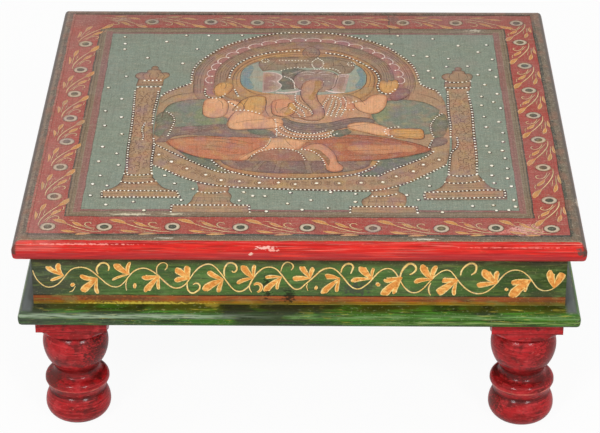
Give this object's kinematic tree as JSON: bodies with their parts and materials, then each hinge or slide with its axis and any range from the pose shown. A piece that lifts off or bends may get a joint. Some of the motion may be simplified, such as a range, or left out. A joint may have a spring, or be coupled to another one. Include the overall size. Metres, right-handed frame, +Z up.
{
  "type": "low table",
  "caption": "Low square table of painted wood with a picture panel on its half round edged top, a boxed apron, a base frame and stout turned legs.",
  "frame": {"origin": "on the floor, under the middle of the square top", "axes": "+Z up, +Y from the front apron to the rear apron, +X to the right as seen from the front"},
  "size_m": [0.457, 0.457, 0.184],
  "materials": {
    "painted_top": "painted and varnished",
    "painted_lipping": "painted and varnished, rubbed",
    "painted_apron": "painted and varnished",
    "painted_base": "painted and varnished, rubbed",
    "painted_leg": "painted and varnished, rubbed",
    "bare_wood": "sawn",
    "steel": "dull"
  },
  "bodies": {
    "root": {"top_board_left": "painted_top", "top_board_middle": "painted_top", "top_board_right": "painted_top", "top_lipping_front": "painted_lipping", "top_lipping_right": "painted_lipping", "top_lipping_rear": "painted_lipping", "top_lipping_left": "painted_lipping", "apron_front": "painted_apron", "apron_right": "painted_apron", "apron_rear": "painted_apron", "apron_left": "painted_apron", "base_rail_front": "painted_base", "base_rail_right": "painted_base", "base_rail_rear": "painted_base", "base_rail_left": "painted_base", "corner_block_front_left": "bare_wood", "corner_block_front_right": "bare_wood", "corner_block_rear_left": "bare_wood", "corner_block_rear_right": "bare_wood", "batten_front": "bare_wood", "batten_rear": "bare_wood", "leg_front_left": "painted_leg", "leg_front_right": "painted_leg", "leg_rear_left": "painted_leg", "leg_rear_right": "painted_leg", "lipping_pins": "steel", "top_nails": "steel", "base_nails": "steel", "leg_screws": "steel", "batten_screws": "steel"}
  },
  "joints": []
}
